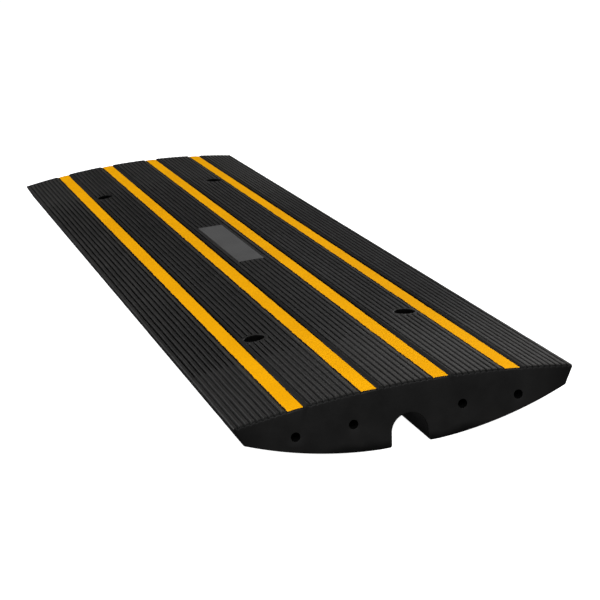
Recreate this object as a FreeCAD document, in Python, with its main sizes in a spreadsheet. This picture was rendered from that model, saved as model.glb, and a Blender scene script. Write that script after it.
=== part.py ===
import FreeCAD, Part
import math
import os

import Sketcher

# Cable protector ramp: one moulded rubber bridge with a lens-shaped section, a
# cable channel along its underside, yellow inlaid stripes, a blank centre plate
# and moulded-in washers under its four anchor holes.
# Row frame: +X along the cable channel, +Y across the ramp, +Z up, origin on the
# ground under the middle of the ramp. Millimetres.

doc = FreeCAD.newDocument("cable_protector_ramp")
sheet = doc.addObject("Spreadsheet::Sheet", "Dims")
sheet.Label = "Dims"

DIMS = [
    # overall section
    ("length", 1220.0),
    ("width", 305.0),
    ("height", 56.0),
    ("edge_height", 43.6),
    ("foot_half_width", 145.0),
    ("foot_height", 26.4),
    ("belly_mid_half", 85.0),
    ("belly_mid_height", 7.8),
    ("land_half_width", 26.0),
    ("top_edge_radius", 2.2),
    ("corner_run_out", 1.13),
    ("end_chamfer", 1.1),
    # cable channel
    ("channel_radius", 16.0),
    ("channel_centre_height", 11.9),
    ("mouth_half_width", 16.9),
    ("mouth_radius", 2.0),
    # yellow stripes
    ("stripe_width", 14.2),
    ("stripe_inner", 32.4),
    ("stripe_outer", 97.5),
    ("stripe_drop", 1.2),
    ("stripe_thickness", 3.0),
    ("stripe_end_gap", 1.6),
    # lengthwise tread grooves
    ("groove_radius", 1.7),
    ("groove_depth", 1.8),
    ("groove_pitch", 5.45),
    ("groove_pitch_outer", 5.3),
    ("band_side", 65.2),
    ("band_outer", 129.2),
    # centre plate
    ("plate_length", 198.0),
    ("plate_width", 29.2),
    ("plate_thickness", 3.0),
    # anchor holes
    ("anchor_x", 392.0),
    ("anchor_y", 75.5),
    ("counterbore_diameter", 20.0),
    ("collar_diameter", 25.0),
    ("seat_height", 26.0),
    ("through_diameter", 13.0),
    ("washer_diameter", 26.0),
    ("washer_thickness", 3.0),
    # dowel holes, the same in both end faces
    ("dowel_diameter", 8.0),
    ("dowel_depth", 60.0),
    ("dowel_inner_y", 49.1),
    ("dowel_inner_height", 27.1),
    ("dowel_outer_y", 100.3),
    ("dowel_outer_height", 25.8),
]
for row, (name, value) in enumerate(DIMS, start=1):
    sheet.set("A%d" % row, name)
    sheet.set("B%d" % row, str(value))
    sheet.setAlias("B%d" % row, name)
doc.recompute()

class Size:
    """A length worked out from sheet cells: its formula and its present value."""

    def __init__(self, text, number):
        self.text, self.number = text, number

    @staticmethod
    def of(other):
        return other if isinstance(other, Size) else Size(repr(float(other)), float(other))

    def join(self, sign, other, number):
        return Size("(%s%s%s)" % (self.text, sign, Size.of(other).text), number)

    def __add__(self, other):
        return self.join("+", other, self.number + Size.of(other).number)

    def __sub__(self, other):
        return self.join("-", other, self.number - Size.of(other).number)

    def __mul__(self, other):
        return self.join("*", other, self.number * Size.of(other).number)

    def __truediv__(self, other):
        return self.join("/", other, self.number / Size.of(other).number)

    def __neg__(self):
        return Size("(0-%s)" % self.text, -self.number)

    def squared(self):
        return Size("(%s^2)" % self.text, self.number**2)

    def root(self):
        return Size("sqrt(%s)" % self.text, math.sqrt(self.number))


D = dict(DIMS)


def cell(name):
    return Size("Dims." + name, D[name])


ZERO = Size("0", 0.0)
LENGTH, HEIGHT = cell("length"), cell("height")
HALF = cell("width") / 2

# The walking surface is one arc over the whole width
RISE = HEIGHT - cell("edge_height")
ARCH_RADIUS = (HALF.squared() + RISE.squared()) / (RISE * 2)


def arch(y, drop=ZERO):
    """Height of the walking surface at y, less a drop measured square to it."""
    return HEIGHT - ARCH_RADIUS + ((ARCH_RADIUS - drop).squared() - Size.of(y).squared()).root()


def plane(body, role):
    return [f for f in body.Origin.OriginFeatures if f.Role == role][0]


def make_body(name, label=None):
    body = doc.addObject("PartDesign::Body", name)
    body.Label = label or name
    return body


def make_sketch(body, name, role, offset=None):
    sk = body.newObject("Sketcher::SketchObject", name)
    sk.AttachmentSupport = [(plane(body, role), "")]
    sk.MapMode = "FlatFace"
    if offset:
        sk.setExpression(".AttachmentOffset.Base.z", offset.text)
    return sk


def drive(sk, constraint, size):
    """Add a dimension to a sketch and bind it to its formula."""
    index = sk.addConstraint(constraint)
    sk.setExpression("Constraints[%d]" % index, size.text)


def pin(sk, geo, end, x, y):
    """Hold one vertex at (x, y)."""
    drive(sk, Sketcher.Constraint("DistanceX", -1, 1, geo, end, x.number), x)
    drive(sk, Sketcher.Constraint("DistanceY", -1, 1, geo, end, y.number), y)


def flat(p):
    return FreeCAD.Vector(p[0].number, p[1].number, 0)


def arc_through(p, m, q):
    """Anticlockwise arc of a circle, and whether it starts at p."""
    ax, ay, bx, by, cx, cy = p.x, p.y, m.x, m.y, q.x, q.y
    d = 2 * (ax * (by - cy) + bx * (cy - ay) + cx * (ay - by))
    a2, b2, c2 = ax**2 + ay**2, bx**2 + by**2, cx**2 + cy**2
    centre = FreeCAD.Vector(
        (a2 * (by - cy) + b2 * (cy - ay) + c2 * (ay - by)) / d,
        (a2 * (cx - bx) + b2 * (ax - cx) + c2 * (bx - ax)) / d,
        0,
    )
    circle = Part.Circle(centre, FreeCAD.Vector(0, 0, 1), centre.distanceToPoint(p))
    angle = lambda v: math.atan2(v.y - centre.y, v.x - centre.x)
    forward = (m - p).cross(q - m).z > 0
    first, last = (angle(p), angle(q)) if forward else (angle(q), angle(p))
    if last <= first:
        last += 2 * math.pi
    return Part.ArcOfCircle(circle, first, last), forward


def loop(sk, points):
    """Closed profile. Each point is (x, y), with an optional third entry: the
    (x, y) of a point on the arc that leads from it to the next one."""
    geos, ends = [], []
    count = len(points)
    for k, p in enumerate(points):
        q = points[(k + 1) % count]
        if len(p) == 3:
            arc, forward = arc_through(flat(p), flat(p[2]), flat(q))
            geos.append(sk.addGeometry(arc, False))
            ends.append((1, 2) if forward else (2, 1))
        else:
            geos.append(sk.addGeometry(Part.LineSegment(flat(p), flat(q)), False))
            ends.append((1, 2))
    for k in range(count):
        n = (k + 1) % count
        sk.addConstraint(
            Sketcher.Constraint("Coincident", geos[k], ends[k][1], geos[n], ends[n][0])
        )
        pin(sk, geos[k], ends[k][0], points[k][0], points[k][1])
    for k, p in enumerate(points):
        if len(p) == 3:
            # a construction point holds the arc's middle
            g = sk.addGeometry(Part.Point(flat(p[2])), True)
            pin(sk, g, 1, p[2][0], p[2][1])
            sk.addConstraint(Sketcher.Constraint("PointOnObject", g, 1, geos[k]))
    return geos


def circles(sk, centres, diameter):
    for x, y in centres:
        circle = Part.Circle(flat((x, y)), FreeCAD.Vector(0, 0, 1), diameter.number / 2)
        g = sk.addGeometry(circle, False)
        pin(sk, g, 3, x, y)
        drive(sk, Sketcher.Constraint("Diameter", g, diameter.number), diameter)


def midplane_pad(body, name, sk, length):
    pad = body.newObject("PartDesign::Pad", name)
    pad.Profile = sk
    pad.Midplane = True
    pad.setExpression("Length", length.text)
    sk.Visibility = False
    return pad


def midplane_pocket(body, name, sk, length):
    cut = body.newObject("PartDesign::Pocket", name)
    cut.Profile = sk
    cut.Type = 0
    cut.Midplane = True
    cut.setExpression("Length", length.text)
    sk.Visibility = False
    return cut


def lengthwise_edges(shape, spots, tolerance=0.6):
    """Names of the long straight edges that pass through the given (y, z) spots."""
    found = []
    for k, e in enumerate(shape.Edges, start=1):
        box = e.BoundBox
        if box.XLength < D["length"] * 0.9 or box.YLength > 0.01 or box.ZLength > 0.01:
            continue
        for y, z in spots:
            if abs(box.YMin - y) < tolerance and abs(box.ZMin - z) < tolerance:
                found.append("Edge%d" % k)
    return found


# ---------------------------------------------------------------- moulded body
moulding = make_body("moulding", "moulding_before_grooves")

section = make_sketch(moulding, "section", "YZ_Plane")
mouth, land, foot = cell("mouth_half_width"), cell("land_half_width"), cell("foot_half_width")
foot_z = cell("foot_height")
belly = (cell("belly_mid_half"), cell("belly_mid_height"))
chan_r, chan_h = cell("channel_radius"), cell("channel_centre_height")
# the side's sharp corner, which the rounding brings back to the full width
corner = HALF + cell("corner_run_out")
loop(
    section,
    [
        (mouth, ZERO),
        (land, ZERO, belly),
        (foot, foot_z),
        (corner, arch(corner), (ZERO, HEIGHT)),
        (-corner, arch(corner)),
        (-foot, foot_z, (-belly[0], belly[1])),
        (-land, ZERO),
        (-mouth, ZERO),
        (-chan_r, chan_h, (ZERO, chan_h + chan_r)),
        (chan_r, chan_h),
    ],
)
bar = midplane_pad(moulding, "bar", section, LENGTH)
doc.recompute()

edges = lengthwise_edges(
    bar.Shape,
    [(s * corner.number, arch(corner).number) for s in (-1, 1)],
)
round_top = moulding.newObject("PartDesign::Fillet", "round_top_edges")
round_top.Base = (bar, edges)
round_top.setExpression("Radius", "Dims.top_edge_radius")
doc.recompute()

edges = lengthwise_edges(
    round_top.Shape,
    [(s * D["mouth_half_width"], 0.0) for s in (-1, 1)]
    + [(s * D["foot_half_width"], D["foot_height"]) for s in (-1, 1)],
)
round_low = moulding.newObject("PartDesign::Fillet", "round_lower_edges")
round_low.Base = (round_top, edges)
round_low.setExpression("Radius", "Dims.mouth_radius")
doc.recompute()

# the end faces' upper edge is eased so the ribs taper out instead of ending square
edges = []
for k, e in enumerate(round_low.Shape.Edges, start=1):
    b = e.BoundBox
    if b.XLength < 0.01 and b.YLength > D["width"] * 0.9 and b.ZMin > D["edge_height"] - 3:
        edges.append("Edge%d" % k)
ease = moulding.newObject("PartDesign::Chamfer", "ease_end_edges")
ease.Base = (round_low, edges)
ease.setExpression("Size", "Dims.end_chamfer")
doc.recompute()

# shallow sloped-sided channels that the yellow stripes show through
stripe_centres = [
    ("stripe_outer_left", -cell("stripe_outer")),
    ("stripe_inner_left", -cell("stripe_inner")),
    ("stripe_inner_right", cell("stripe_inner")),
    ("stripe_outer_right", cell("stripe_outer")),
]
STRIPE_HALF = cell("stripe_width") / 2
DROP = cell("stripe_drop")
BED = DROP + cell("stripe_thickness")
STRIPE_LENGTH = LENGTH - cell("stripe_end_gap") * 2
shallow = make_sketch(moulding, "stripe_channels", "YZ_Plane")
for name, c in stripe_centres:
    lo, hi = c - STRIPE_HALF, c + STRIPE_HALF
    lo_out, hi_out = lo - DROP * 2, hi + DROP * 2
    loop(
        shallow,
        [
            (lo, arch(lo, DROP)),
            (hi, arch(hi, DROP)),
            (hi_out, arch(hi_out, -DROP)),
            (lo_out, arch(lo_out, -DROP)),
        ],
    )
midplane_pocket(moulding, "cut_stripe_channels", shallow, LENGTH + 20)

# beds that the stripes are bonded into, closed at both ends
beds = make_sketch(moulding, "stripe_beds", "YZ_Plane")
for name, c in stripe_centres:
    lo, hi = c - STRIPE_HALF, c + STRIPE_HALF
    loop(beds, [(lo, arch(lo, BED)), (hi, arch(hi, BED)), (hi, arch(hi)), (lo, arch(lo))])
midplane_pocket(moulding, "cut_stripe_beds", beds, STRIPE_LENGTH)

# recess for the blank plate
PLATE_HALF = cell("plate_width") / 2
PLATE_FLOOR = arch(PLATE_HALF) - cell("plate_thickness")
recess = make_sketch(moulding, "plate_recess", "YZ_Plane")
loop(
    recess,
    [
        (-PLATE_HALF, PLATE_FLOOR),
        (PLATE_HALF, PLATE_FLOOR),
        (PLATE_HALF, HEIGHT + 2),
        (-PLATE_HALF, HEIGHT + 2),
    ],
)
midplane_pocket(moulding, "cut_plate_recess", recess, cell("plate_length"))

# anchor holes: counterbore, cavity of the moulded-in washer, through hole
anchors = {
    "anchor_washer_near_right": (cell("anchor_x"), cell("anchor_y")),
    "anchor_washer_near_left": (cell("anchor_x"), -cell("anchor_y")),
    "anchor_washer_far_right": (-cell("anchor_x"), cell("anchor_y")),
    "anchor_washer_far_left": (-cell("anchor_x"), -cell("anchor_y")),
}


def plan_pocket(name, diameter, top, depth):
    sk = make_sketch(moulding, name + "_circles", "XY_Plane", top)
    circles(sk, anchors.values(), diameter)
    cut = moulding.newObject("PartDesign::Pocket", name)
    cut.Profile = sk
    cut.Type = 0
    cut.Midplane = False
    cut.Reversed = False
    cut.setExpression("Length", depth.text)
    sk.Visibility = False
    return cut


SEAT = cell("seat_height")
plan_pocket("cut_counterbores", cell("counterbore_diameter"), HEIGHT + 4, HEIGHT + 4 - SEAT)
plan_pocket("cut_washer_cavities", cell("washer_diameter"), SEAT, cell("washer_thickness"))
plan_pocket("cut_through_holes", cell("through_diameter"), SEAT, SEAT + 4)

# dowel holes in both end faces
dowels = [
    (cell("dowel_inner_y"), cell("dowel_inner_height")),
    (-cell("dowel_inner_y"), cell("dowel_inner_height")),
    (cell("dowel_outer_y"), cell("dowel_outer_height")),
    (-cell("dowel_outer_y"), cell("dowel_outer_height")),
]
for side, offset, back in (("near", LENGTH / 2, False), ("far", -LENGTH / 2, True)):
    sk = make_sketch(moulding, "dowel_circles_" + side, "YZ_Plane", offset)
    circles(sk, dowels, cell("dowel_diameter"))
    cut = moulding.newObject("PartDesign::Pocket", "cut_dowel_holes_" + side)
    cut.Profile = sk
    cut.Type = 0
    cut.Midplane = False
    cut.Reversed = back
    cut.setExpression("Length", "Dims.dowel_depth")
    sk.Visibility = False
doc.recompute()

# ------------------------------------------------- lengthwise tread grooves
bands = [
    ("centre", ZERO, cell("groove_pitch")),
    ("side_right", cell("band_side"), cell("groove_pitch")),
    ("side_left", -cell("band_side"), cell("groove_pitch")),
    ("outer_right", cell("band_outer"), cell("groove_pitch_outer")),
    ("outer_left", -cell("band_outer"), cell("groove_pitch_outer")),
]
cutters = []
for band, middle, pitch in bands:
    for k in range(8):
        tool = doc.addObject("Part::Cylinder", "groove_%s_%d" % (band, k + 1))
        y = middle + pitch * (k - 3.5)
        z = arch(y, cell("groove_depth") - cell("groove_radius"))
        tool.setExpression("Radius", "Dims.groove_radius")
        tool.setExpression("Height", "Dims.length+20")
        tool.Placement = FreeCAD.Placement(
            FreeCAD.Vector(0, 0, 0), FreeCAD.Rotation(FreeCAD.Vector(0, 1, 0), 90)
        )
        tool.setExpression(".Placement.Base.x", "0-Dims.length/2-10")
        tool.setExpression(".Placement.Base.y", y.text)
        tool.setExpression(".Placement.Base.z", z.text)
        cutters.append(tool)
comb = doc.addObject("Part::Compound", "groove_comb")
comb.Links = cutters

# the grooves stop short of a smooth collar round each anchor hole
collars = []
for name, (x, y) in anchors.items():
    collar = doc.addObject("Part::Cylinder", name.replace("washer", "collar"))
    collar.setExpression("Radius", "Dims.collar_diameter/2")
    collar.setExpression("Height", "Dims.height")
    collar.setExpression(".Placement.Base.x", x.text)
    collar.setExpression(".Placement.Base.y", y.text)
    collar.setExpression(".Placement.Base.z", "Dims.seat_height")
    collars.append(collar)
collar_set = doc.addObject("Part::Compound", "anchor_collars")
collar_set.Links = collars

groove_tool = doc.addObject("Part::Cut", "groove_tool")
groove_tool.Base = comb
groove_tool.Tool = collar_set

ramp_body = doc.addObject("Part::Cut", "ramp_body")
ramp_body.Label = "ramp_body"
ramp_body.Base = moulding
ramp_body.Tool = groove_tool
doc.recompute()

nodes = {"ramp_body": ramp_body}

# ------------------------------------------------------------- yellow stripes
for name, c in stripe_centres:
    body = make_body(name)
    sk = make_sketch(body, name + "_section", "YZ_Plane")
    lo, hi = c - STRIPE_HALF, c + STRIPE_HALF
    loop(
        sk,
        [(lo, arch(lo, BED)), (hi, arch(hi, BED)), (hi, arch(hi, DROP)), (lo, arch(lo, DROP))],
    )
    midplane_pad(body, name + "_strip", sk, STRIPE_LENGTH)
    nodes[name] = body

# ---------------------------------------------------------------- blank plate
plate = make_body("centre_plate")
sk = make_sketch(plate, "plate_section", "YZ_Plane")
loop(
    sk,
    [
        (-PLATE_HALF, PLATE_FLOOR),
        (PLATE_HALF, PLATE_FLOOR),
        (PLATE_HALF, arch(PLATE_HALF), (ZERO, HEIGHT)),
        (-PLATE_HALF, arch(PLATE_HALF)),
    ],
)
midplane_pad(plate, "plate_pad", sk, cell("plate_length"))
nodes["centre_plate"] = plate

# ------------------------------------------------------------- anchor washers
for name, (x, y) in anchors.items():
    body = make_body(name)
    sk = make_sketch(body, name + "_ring", "XY_Plane")
    for size in (cell("washer_diameter"), cell("through_diameter")):
        circle = Part.Circle(
            FreeCAD.Vector(0, 0, 0), FreeCAD.Vector(0, 0, 1), size.number / 2
        )
        g = sk.addGeometry(circle, False)
        sk.addConstraint(Sketcher.Constraint("Coincident", g, 3, -1, 1))
        drive(sk, Sketcher.Constraint("Diameter", g, size.number), size)
    pad = body.newObject("PartDesign::Pad", name + "_disc")
    pad.Profile = sk
    pad.setExpression("Length", "Dims.washer_thickness")
    sk.Visibility = False
    body.setExpression(".Placement.Base.x", x.text)
    body.setExpression(".Placement.Base.y", y.text)
    body.setExpression(".Placement.Base.z", "Dims.seat_height-Dims.washer_thickness")
    nodes[name] = body
doc.recompute()

# ------------------------------------------------------------------- checking
for obj in doc.Objects:
    if "Invalid" in obj.State or "Error" in obj.State:
        raise RuntimeError("%s failed to recompute: %s" % (obj.Name, obj.State))
    if obj.TypeId == "Sketcher::SketchObject" and obj.solve() != 0:
        raise RuntimeError("sketch %s does not solve" % obj.Name)

# every cut must have removed what it should
before = None
for step in moulding.Group:
    if not hasattr(step, "Shape") or step.TypeId == "Sketcher::SketchObject":
        continue
    volume = step.Shape.Volume
    if before is not None and step.TypeId != "PartDesign::Pad" and abs(before - volume) < 1.0:
        raise RuntimeError("%s changed nothing" % step.Name)
    print("%-24s %12.1f mm3" % (step.Name, volume))
    before = volume

for name, obj in nodes.items():
    shape = obj.Shape
    if shape.isNull() or not shape.isValid():
        raise RuntimeError("%s has no valid shape" % name)
    if len(shape.Solids) != 1:
        raise RuntimeError("%s has %d solids" % (name, len(shape.Solids)))

os.makedirs("parts", exist_ok=True)
for name, obj in nodes.items():
    shape = obj.Shape.copy()
    shape.exportStep(os.path.join("parts", name + ".step"))
    b = shape.BoundBox
    print(
        "%-26s %12.1f mm3  x %.2f..%.2f  y %.2f..%.2f  z %.2f..%.2f"
        % (name, shape.Volume, b.XMin, b.XMax, b.YMin, b.YMax, b.ZMin, b.ZMax)
    )
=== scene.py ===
import math

import bmesh
import bpy
import numpy as np
from mathutils import Matrix, Vector, geometry


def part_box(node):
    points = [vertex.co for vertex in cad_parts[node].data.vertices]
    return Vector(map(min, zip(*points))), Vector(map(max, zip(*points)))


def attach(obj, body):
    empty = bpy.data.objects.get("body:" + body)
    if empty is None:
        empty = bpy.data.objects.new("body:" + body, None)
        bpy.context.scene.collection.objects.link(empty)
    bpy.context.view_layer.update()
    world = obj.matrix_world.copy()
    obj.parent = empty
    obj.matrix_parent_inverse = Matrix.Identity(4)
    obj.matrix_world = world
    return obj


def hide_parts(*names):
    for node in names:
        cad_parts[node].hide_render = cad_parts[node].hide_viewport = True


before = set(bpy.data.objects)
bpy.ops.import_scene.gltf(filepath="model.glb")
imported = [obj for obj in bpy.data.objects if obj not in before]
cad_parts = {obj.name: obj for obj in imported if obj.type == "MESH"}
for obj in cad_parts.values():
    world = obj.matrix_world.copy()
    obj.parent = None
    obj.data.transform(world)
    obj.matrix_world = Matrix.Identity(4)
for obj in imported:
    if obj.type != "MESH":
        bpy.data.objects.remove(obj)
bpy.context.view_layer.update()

MM = 0.001
ROOT = "root"

# ---------------------------------------------------------------------------
# sizes: the frame gives the boxes, and the rest repeats the CAD's own numbers
# ---------------------------------------------------------------------------
lo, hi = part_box("ramp_body")
HALF_L = hi.x / MM
HALF_W = hi.y / MM
HEIGHT = hi.z / MM
EDGE_Z = 43.6
ARCH_R = (152.5**2 + (HEIGHT - EDGE_Z) ** 2) / (2 * (HEIGHT - EDGE_Z))
CORNER_Y = 152.5 + 1.13
FOOT = (145.0, 26.4)
BELLY_MID = (85.0, 7.8)
LAND_Y = 26.0
MOUTH_Y = 16.9
CHAN_R, CHAN_Z = 16.0, 11.9
TOP_R, FOOT_R, MOUTH_R = 2.2, 2.0, 2.0

STRIPES = {}
for name in ("stripe_outer_left", "stripe_inner_left", "stripe_inner_right", "stripe_outer_right"):
    a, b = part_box(name)
    STRIPES[name] = ((a.y + b.y) / 2 / MM, (b.y - a.y) / 2 / MM, b.x / MM)
STRIPE_HALF = 7.1
STRIPE_DROP = 1.2
BED_DROP = 4.2
STRIPE_END = STRIPES["stripe_inner_left"][2]

a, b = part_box("centre_plate")
PLATE_HALF_L, PLATE_HALF_W, PLATE_DROP = b.x / MM, b.y / MM, 3.1

WASHERS = {}
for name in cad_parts:
    if name.startswith("anchor_washer"):
        a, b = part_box(name)
        WASHERS[name] = ((a.x + b.x) / 2 / MM, (a.y + b.y) / 2 / MM, a.z / MM, b.z / MM)
BORE_R, WASHER_R, BOLT_R = 10.0, 13.0, 6.5
DOWELS = [(-100.3, 25.8), (-49.1, 27.1), (49.1, 27.1), (100.3, 25.8)]
DOWEL_R, DOWEL_DEPTH = 4.0, 60.0

GROOVES = []
for middle, pitch in ((0.0, 5.45), (65.2, 5.45), (-65.2, 5.45), (129.2, 5.3), (-129.2, 5.3)):
    GROOVES += [middle + pitch * (k - 3.5) for k in range(8)]
GROOVES = np.array(sorted(GROOVES))
GROOVE_DEPTH = 1.8
END_ROUND = 1.2  # mould radius round both end faces
RIB_RUN = 4.2  # length over which a rib's end rounds off


def smooth(t):
    t = np.clip(t, 0.0, 1.0)
    return t * t * (3 - 2 * t)


def arch(y):
    return HEIGHT - ARCH_R + np.sqrt(ARCH_R**2 - np.asarray(y, float) ** 2)


def wobble(x, y, seed, *waves):
    """Slow unevenness of moulded rubber: a fixed sum of sines. waves: (amplitude, length)."""
    rng = np.random.default_rng(seed)
    total = np.zeros(np.broadcast(x, y).shape)
    for amplitude, length in waves:
        for _ in range(4):
            turn = rng.uniform(0, 2 * math.pi)
            k = 2 * math.pi / (length * rng.uniform(0.7, 1.4))
            phase = rng.uniform(0, 2 * math.pi)
            total += amplitude / 2 * np.sin(k * (x * math.cos(turn) + y * math.sin(turn)) + phase)
    return total


# ---------------------------------------------------------------------------
# the tread: how far each spot of the top lies below the plain arch
# ---------------------------------------------------------------------------
# beside a stripe the last rib leans down towards it and ends in a narrow trough:
# (distance from the stripe's edge, depth below the arch)
LEAN = np.array([(0.0, 1.90), (0.70, 1.90), (1.05, 1.62), (1.55, 1.02), (2.0, 0.78), (3.0, 0.42), (3.9, 0.12), (4.4, 0.0)])


def groove_share(x, y):
    """1 where the grooves have their full depth, 0 where they have run out."""
    share = np.ones(np.broadcast(x, y).shape)
    for wx, wy, _, _ in WASHERS.values():
        share = share * smooth((np.hypot(x - wx, y - wy) - 12.1) / 1.9)
    share = share * (0.22 + 0.78 * smooth((x + HALF_L - 1.0) / 9.0))
    over_plate = np.abs(y) < 17.0
    run_out = smooth((np.abs(x) - PLATE_HALF_L - 0.3) / 1.6)
    return np.where(over_plate, share * run_out, share)


def tread(x, y):
    x, y = np.broadcast_arrays(np.asarray(x, float), np.asarray(y, float))
    near = np.abs(y[..., None] - GROOVES)
    u = near.min(-1)
    groove = GROOVE_DEPTH * (1 - smooth((u - 0.22) / 1.30))
    crown = 0.16 * np.clip((2.7 - u) / 2.7, 0, 1) ** 2
    drop = (groove + crown) * groove_share(x, y)
    for centre, half, _ in STRIPES.values():
        s = np.abs(y - centre) - STRIPE_HALF
        lean = np.interp(s, LEAN[:, 0], LEAN[:, 1])
        drop = np.where(s < 4.4, np.maximum(drop, lean), drop)
        drop = np.where(s < -1e-6, STRIPE_DROP, drop)
    return drop


def end_roll(d, y):
    """Extra drop of a rib's crest close to an end face, d from it."""
    t = np.clip(1 - d / RIB_RUN, 0, 1)
    amount = GROOVE_DEPTH * (1 - np.sqrt(1 - t**2))
    return amount * smooth((151.6 - np.abs(y)) / 2.4)


def end_inset(d):
    t = np.clip(1 - d / END_ROUND, 0, 1)
    return END_ROUND * (1 - np.sqrt(1 - t**2))


def top_height(x, y):
    d = HALF_L - np.abs(x)
    drop = tread(x, y)
    roll = end_roll(d, y)
    drop = np.maximum(drop, roll) + 0.15 * np.minimum(drop, roll) * (roll > 0) * (drop < GROOVE_DEPTH)
    lump = wobble(x, y, 3, (0.030, 46.0), (0.015, 19.0))
    return arch(y) - drop - end_inset(d) + lump * (d > 6) - 0.05 * (d > 6)


# ---------------------------------------------------------------------------
# the body's outline across the ramp, clockwise seen from +X
# ---------------------------------------------------------------------------
def fillet(p0, p1, p2, r, n):
    p0, p1, p2 = (np.array(p, float) for p in (p0, p1, p2))
    u, v = p0 - p1, p2 - p1
    u, v = u / np.linalg.norm(u), v / np.linalg.norm(v)
    half = math.acos(np.clip(u @ v, -1, 1)) / 2
    a, b = p1 + u * r / math.tan(half), p1 + v * r / math.tan(half)
    c = p1 + (u + v) / np.linalg.norm(u + v) * r / math.sin(half)
    t0 = math.atan2(a[1] - c[1], a[0] - c[0])
    t1 = math.atan2(b[1] - c[1], b[0] - c[0])
    while t1 - t0 > math.pi:
        t1 -= 2 * math.pi
    while t1 - t0 < -math.pi:
        t1 += 2 * math.pi
    return [(c[0] + r * math.cos(t), c[1] + r * math.sin(t)) for t in np.linspace(t0, t1, n)]


def circle_through(p, m, q):
    (ax, ay), (bx, by), (cx, cy) = p, m, q
    d = 2 * (ax * (by - cy) + bx * (cy - ay) + cx * (ay - by))
    a2, b2, c2 = ax**2 + ay**2, bx**2 + by**2, cx**2 + cy**2
    ux = (a2 * (by - cy) + b2 * (cy - ay) + c2 * (ay - by)) / d
    uy = (a2 * (cx - bx) + b2 * (ax - cx) + c2 * (bx - ax)) / d
    return ux, uy, math.hypot(ax - ux, ay - uy)


BC = circle_through((LAND_Y, 0.0), BELLY_MID, FOOT)


def belly(y):
    y = np.abs(np.asarray(y, float))
    z = BC[1] - np.sqrt(np.maximum(BC[2] ** 2 - (y - BC[0]) ** 2, 0))
    return np.where(y > LAND_Y, z, 0.0)


corner = (CORNER_Y, float(arch(CORNER_Y)))
corner_arc = fillet((CORNER_Y - 8, float(arch(CORNER_Y - 8))), corner, FOOT, TOP_R, 8)
foot_arc = fillet(corner, FOOT, (FOOT[0] - 8, float(belly(FOOT[0] - 8))), FOOT_R, 7)
mouth_arc = fillet((MOUTH_Y + 8, 0.0), (MOUTH_Y, 0.0), (CHAN_R, CHAN_Z), MOUTH_R, 7)
TOP_END = corner_arc[0][0]

WIN_TOP, WIN_LOW = 13.6, 9.6
ANCHOR_Y = sorted({round(w[1], 3) for w in WASHERS.values()})
ANCHOR_X = sorted({round(w[0], 3) for w in WASHERS.values()})

# -- samples over the top: (y, layer), layer 0 surface, 1 stripe bed, 2 plate recess
must = set()
for ay in ANCHOR_Y:
    must |= {round(ay - WIN_TOP, 4), round(ay + WIN_TOP, 4)}
walls = []
for centre, half, _ in STRIPES.values():
    walls += [(centre - STRIPE_HALF, 1), (centre + STRIPE_HALF, 1)]
walls += [(-PLATE_HALF_W, 2), (PLATE_HALF_W, 2)]
ys = set()
for g in GROOVES:
    for o in (0, 0.26, 0.50, 0.74, 0.98, 1.24, 1.52, 1.95, 2.40):
        ys |= {g - o, g + o}
for centre, half, _ in STRIPES.values():
    for out in (0.35, 0.70, 1.05, 1.3, 1.55, 1.8, 2.1, 2.6, 3.2, 3.9, 4.4):
        ys |= {centre - STRIPE_HALF - out, centre + STRIPE_HALF + out}
ys |= {s * v for s in (-1, 1) for v in (150.2, 150.9)}
ys = sorted(v for v in ys if abs(v) < TOP_END - 0.12)
fixed = sorted(must | {w[0] for w in walls} | {-TOP_END, TOP_END})
keep = []
for v in ys:
    inside = [c for c, h, _ in STRIPES.values() if abs(v - c) < STRIPE_HALF + 0.05]
    if inside or min(abs(v - f) for f in fixed) < 0.12:
        continue
    if keep and v - keep[-1] < 0.16:
        continue
    keep.append(v)
slots = [(v, 0) for v in keep] + [(v, 0) for v in must] + [(-TOP_END, 0), (TOP_END, 0)]
for centre, half, _ in STRIPES.values():
    slots += [(centre - STRIPE_HALF, 0), (centre + STRIPE_HALF, 0)]
    slots += [(centre + o, 1) for o in (-STRIPE_HALF, -3.6, 0.0, 3.6, STRIPE_HALF)]
plate_slots = [(-PLATE_HALF_W, 0), (PLATE_HALF_W, 0)]
slots = [(v, 2 if layer == 0 and abs(v) < PLATE_HALF_W - 1e-6 else layer) for v, layer in slots]
slots += plate_slots + [(-PLATE_HALF_W, 2), (PLATE_HALF_W, 2)]


def slot_key(s):
    y, layer = s
    # at a wall the surface point comes first on the way in, and last on the way out
    if layer == 0:
        for centre, half, _ in STRIPES.values():
            if abs(y - centre - STRIPE_HALF) < 1e-6:
                return (round(y, 6), 1)
            if abs(y - centre + STRIPE_HALF) < 1e-6:
                return (round(y, 6), 0)
        if abs(y - PLATE_HALF_W) < 1e-6:
            return (round(y, 6), 1)
        if abs(y + PLATE_HALF_W) < 1e-6:
            return (round(y, 6), 0)
        return (round(y, 6), 0)
    for centre, half, _ in STRIPES.values():
        if abs(y - centre + STRIPE_HALF) < 1e-6:
            return (round(y, 6), 1)
    if abs(y + PLATE_HALF_W) < 1e-6:
        return (round(y, 6), 1)
    return (round(y, 6), 0)


slots.sort(key=slot_key)
top_y = np.array([s[0] for s in slots])
top_layer = np.array([s[1] for s in slots])

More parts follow.
